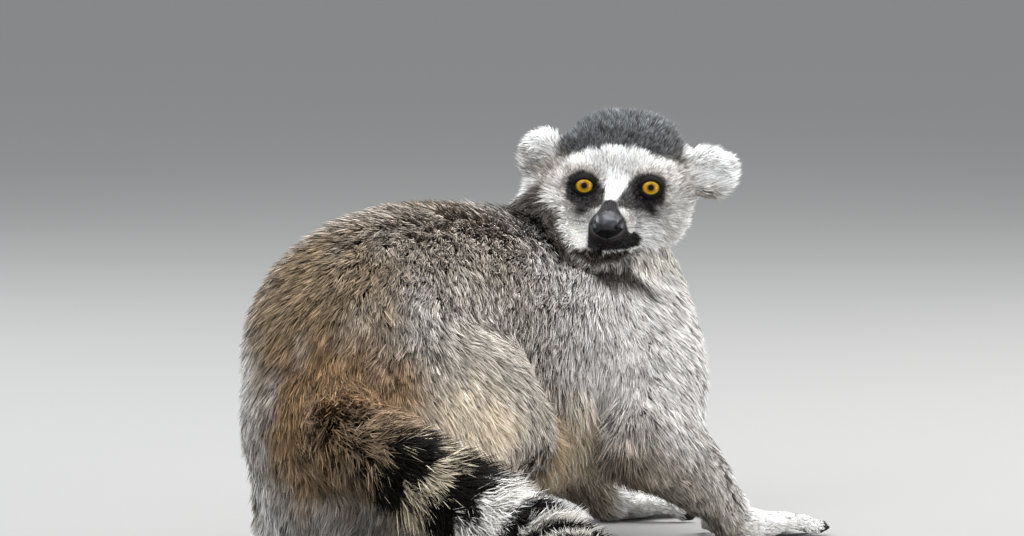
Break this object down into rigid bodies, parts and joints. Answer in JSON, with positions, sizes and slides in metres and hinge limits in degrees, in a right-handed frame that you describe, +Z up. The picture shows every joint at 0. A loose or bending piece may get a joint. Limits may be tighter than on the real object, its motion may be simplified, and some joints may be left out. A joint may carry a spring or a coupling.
{
  "type": "ring-tailed lemur",
  "caption": "Life-size ring-tailed lemur crouching on all fours, looking back over its right shoulder, with its long ringed tail curled round on the floor.",
  "frame": {"origin": "on the floor under the middle of the hips, where the rump rests", "axes": "+X the way the body heads, +Y the animal's left, +Z up; the head is turned back towards -X and -Y"},
  "size_m": [0.66, 0.3892, 0.2344],
  "materials": {
    "grey_coat": "thick matt fur, salted grey and golden brown",
    "pale_coat": "short matt fur, white to pale grey",
    "ringed_coat": "matt fur in black and white rings",
    "black_leather": "moist bare black skin",
    "amber_eye": "glossy amber eyeball"
  },
  "bodies": {
    "root": {"belly": "grey_coat", "chest": "grey_coat", "ear_left": "pale_coat", "ear_right": "pale_coat", "eye_left": "amber_eye", "eye_right": "amber_eye", "foot_left": "grey_coat", "foot_right": "grey_coat", "forearm_left": "grey_coat", "forearm_right": "grey_coat", "hand_left": "grey_coat", "hand_right": "grey_coat", "head": "pale_coat", "neck": "grey_coat", "nose": "black_leather", "rump": "grey_coat", "shank_left": "grey_coat", "shank_right": "grey_coat", "tail_1": "ringed_coat", "tail_2": "ringed_coat", "tail_3": "ringed_coat", "tail_4": "ringed_coat", "tail_5": "ringed_coat", "tail_6": "ringed_coat", "thigh_left": "grey_coat", "thigh_right": "grey_coat", "upper_arm_left": "grey_coat", "upper_arm_right": "grey_coat"}
  },
  "joints": []
}
